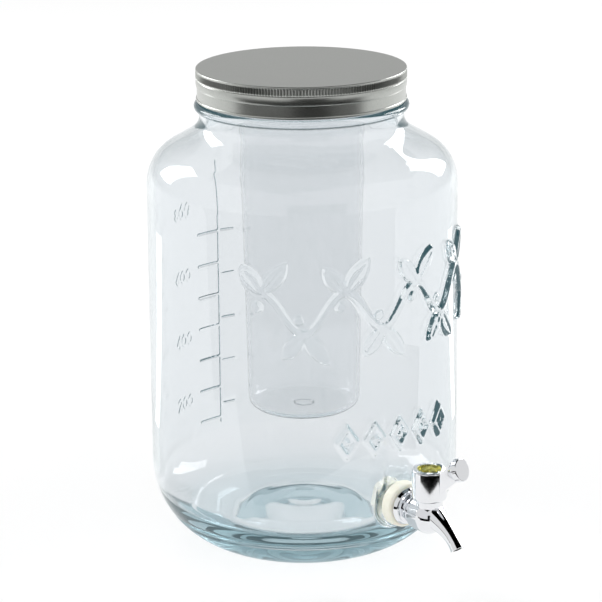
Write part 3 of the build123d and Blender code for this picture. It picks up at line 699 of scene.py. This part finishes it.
def add_softbox(name, azimuth, elevation, distance, size_x, size_y, power):
    """A rectangular area light that faces the jar."""
    light = bpy.data.lights.new(name, "AREA")
    light.shape = "RECTANGLE"
    light.size = size_x
    light.size_y = size_y
    light.energy = power
    obj = bpy.data.objects.new(name, light)
    bpy.context.scene.collection.objects.link(obj)
    obj.location = around(azimuth, elevation, distance)
    obj.rotation_mode = "QUATERNION"
    outward = obj.location - Vector(MIDDLE)
    obj.rotation_quaternion = outward.to_track_quat("Z", "Y")
    return obj


def hide_from_all_but_mirrors(card):
    """The card shows only in reflections and through the refracting glass, and casts no shade."""
    card.visible_camera = False
    card.visible_diffuse = False
    card.visible_transmission = False
    card.visible_shadow = False


def add_flag(name, azimuth, elevation, distance, size_x, size_y):
    """A black card for the dark streaks in the chrome and the grey in the glass."""
    position = around(azimuth, elevation, distance)
    card = add_plane(name, size_x, size_y, position, Vector(MIDDLE) - position, (0, 0, 0))
    hide_from_all_but_mirrors(card)
    return card


def add_floor_card(name, vertices, faces):
    """A flat card on the floor, hidden from the camera. Its shader is given back to be set."""
    mesh = bpy.data.meshes.new(name)
    mesh.from_pydata(vertices, [], faces)
    card = bpy.data.objects.new(name, mesh)
    bpy.context.scene.collection.objects.link(card)
    hide_from_all_but_mirrors(card)
    material, shader = new_material(name)
    mesh.materials.append(material)
    return shader


def add_floor_flag(name, first_turn, last_turn, near, widening, far):
    """A black mat in front of the tap, hidden from the camera. Turns start at the camera's direction."""
    camera_turn = math.radians(CAMERA_AZIMUTH)
    ahead = Vector((math.sin(camera_turn), -math.cos(camera_turn), 0))
    right = Vector((-ahead.y, ahead.x, 0))
    tap = Vector((0, BARREL_Y * MM, 0.0006))
    steps = 27
    vertices, faces = [], []
    for turn in np.radians(np.linspace(first_turn, last_turn, steps + 1)):
        out = ahead * math.cos(turn) + right * math.sin(turn)
        vertices += [tuple(tap + out * (near + widening * abs(turn))), tuple(tap + out * far)]
    for step in range(steps):
        faces.append((2 * step, 2 * step + 1, 2 * step + 3, 2 * step + 2))
    shader = add_floor_card(name, vertices, faces)
    shader.inputs["Base Color"].default_value = (0.0, 0.0, 0.0, 1)
    shader.inputs["Specular IOR Level"].default_value = 0.0


def add_floor_glow(name, azimuth, half_width, near, far, strength):
    """A bright strip on the floor beside the jar, hidden from the camera: it lights the upright walls."""
    centre = (0, 0, 0.0008)
    first, last = azimuth - half_width, azimuth + half_width
    corners = [(first, near), (last, near), (last, far), (first, far)]
    vertices = [tuple(around(turn, 0, distance, centre)) for turn, distance in corners]
    shader = add_floor_card(name, vertices, [(0, 1, 2, 3)])
    shader.inputs["Base Color"].default_value = (0.8, 0.8, 0.8, 1)
    shader.inputs["Emission Color"].default_value = (1, 1, 1, 1)
    shader.inputs["Emission Strength"].default_value = strength


def add_foot_shade(name, radius, height):
    """A grey disc under the jar, for the shade there. Only refracted and mirrored rays see it."""
    sides = 96
    vertices = [(0, 0, height)]
    for turn in np.linspace(0, 2 * math.pi, sides, False):
        vertices.append((radius * math.cos(turn), radius * math.sin(turn), height))
    faces = [(0, 1 + side, 1 + (side + 1) % sides) for side in range(sides)]
    shader = add_floor_card(name, vertices, faces)
    shader.inputs["Base Color"].default_value = (0.28, 0.30, 0.31, 1)
    shader.inputs["Roughness"].default_value = 0.9
    shader.inputs["Emission Color"].default_value = (0.9, 0.97, 1, 1)
    shader.inputs["Emission Strength"].default_value = 0.30


add_plane("floor", 16, 16, (0, 0, 0), (0, 0, 1), (0.35, 0.35, 0.35), emission=0.60)

world = bpy.data.worlds.new("studio")
bpy.context.scene.world = world
world.use_nodes = True
world.node_tree.nodes["Background"].inputs["Color"].default_value = (1.0, 1.0, 1.0, 1)
world.node_tree.nodes["Background"].inputs["Strength"].default_value = 0.8

for name, azimuth in (("left_softbox", -161), ("right_softbox", 98)):
    add_softbox(name, azimuth, elevation=26, distance=2.6, size_x=0.85, size_y=1.5, power=27)
add_flag("camera_side_flag", azimuth=-26, elevation=8, distance=3.4, size_x=2.6, size_y=1.5)
add_floor_flag("tap_floor_flag", first_turn=-62, last_turn=100, near=0.197, widening=0.022, far=0.5)
add_floor_flag("lid_floor_flag", first_turn=-78, last_turn=72, near=0.5, widening=0.0, far=3.4)
back = around(180 + CAMERA_AZIMUTH, 24, 3.4)
back_card = add_plane("back_card", 4.5, 1.7, back, Vector((0, 0, 0.3)) - back, (0, 0, 0), emission=0.57)
hide_from_all_but_mirrors(back_card)
ceiling = add_plane("ceiling_flag", 5.0, 3.0, (0.6, 0.0, 2.4), (0, 0, -1), (0, 0, 0))
hide_from_all_but_mirrors(ceiling)
add_floor_glow("right_floor_glow", azimuth=98, half_width=5, near=0.3, far=0.9, strength=1.7)
add_floor_glow("left_floor_glow", azimuth=-163, half_width=5, near=0.3, far=0.9, strength=1.7)
add_foot_shade("foot_shade", radius=0.098, height=0.0004)

camera_data = bpy.data.cameras.new("camera")
camera_data.sensor_width = 36
camera_data.lens = 143.87
camera_data.shift_x = -0.0037
camera_data.clip_start = 0.05
camera_data.clip_end = 100
camera = bpy.data.objects.new("camera", camera_data)
bpy.context.scene.collection.objects.link(camera)
azimuth = math.radians(CAMERA_AZIMUTH)
camera.location = (
    CAMERA_DISTANCE * math.sin(azimuth),
    -CAMERA_DISTANCE * math.cos(azimuth),
    CAMERA_HEIGHT,
)
ahead = Vector(
    (
        -math.sin(azimuth) * math.cos(CAMERA_PITCH),
        math.cos(azimuth) * math.cos(CAMERA_PITCH),
        -math.sin(CAMERA_PITCH),
    )
)
camera.rotation_mode = "QUATERNION"
roll = Matrix.Rotation(CAMERA_ROLL, 4, "Z").to_quaternion()
camera.rotation_quaternion = ahead.to_track_quat("-Z", "Y") @ roll
bpy.context.scene.camera = camera
bpy.context.scene.view_settings.view_transform = "Standard"
